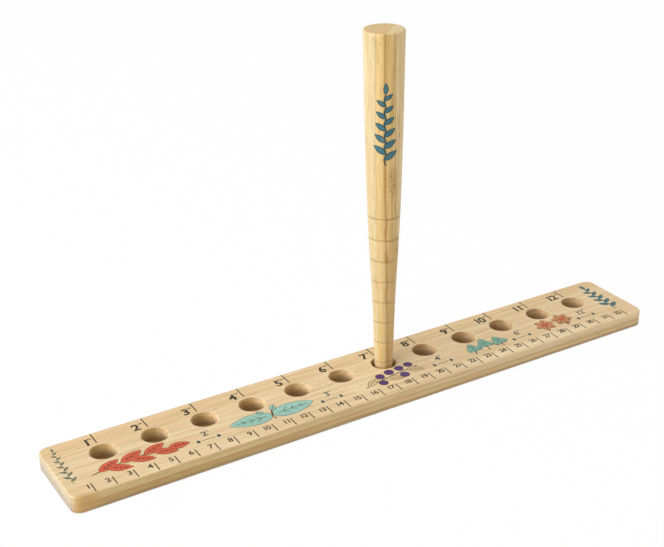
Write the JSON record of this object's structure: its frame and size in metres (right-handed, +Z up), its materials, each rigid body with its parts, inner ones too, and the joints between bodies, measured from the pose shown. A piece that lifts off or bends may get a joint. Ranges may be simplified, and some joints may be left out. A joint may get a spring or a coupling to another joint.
{
  "type": "garden dibber with seed ruler",
  "caption": "Turned, tapered bamboo dibber with depth grooves, standing in a flat laminated bamboo seed ruler with a row of planting holes.",
  "frame": {"origin": "middle of the board's underside", "axes": "+X along the scale towards its high numbers, +Y from the centimetre edge to the inch edge, +Z up along the dibber"},
  "size_m": [0.332, 0.0464, 0.183],
  "materials": {
    "ruler_face_bamboo": "sanded bamboo, oiled",
    "ruler_base_bamboo": "sanded bamboo, oiled",
    "dibber_bamboo": "turned and sanded bamboo, oiled",
    "scale_ink": "printed ink, matt"
  },
  "bodies": {
    "ruler": {"ruler_top_front_strip": "ruler_face_bamboo", "ruler_top_hole_strip": "ruler_face_bamboo", "ruler_top_back_strip": "ruler_face_bamboo", "ruler_base_front_strip": "ruler_base_bamboo", "ruler_base_hole_strip": "ruler_base_bamboo", "ruler_base_back_strip": "ruler_base_bamboo"},
    "dibber": {"dibber_left_cheek": "dibber_bamboo", "dibber_left_strip": "dibber_bamboo", "dibber_core_strip": "dibber_bamboo", "dibber_right_strip": "dibber_bamboo", "dibber_right_cheek": "dibber_bamboo"}
  },
  "joints": [
    {"name": "dibber_lift", "type": "slide", "parent": "ruler", "child": "dibber", "axis": [0, 0, 1], "range_m": [-0.042, 0.03]}
  ]
}
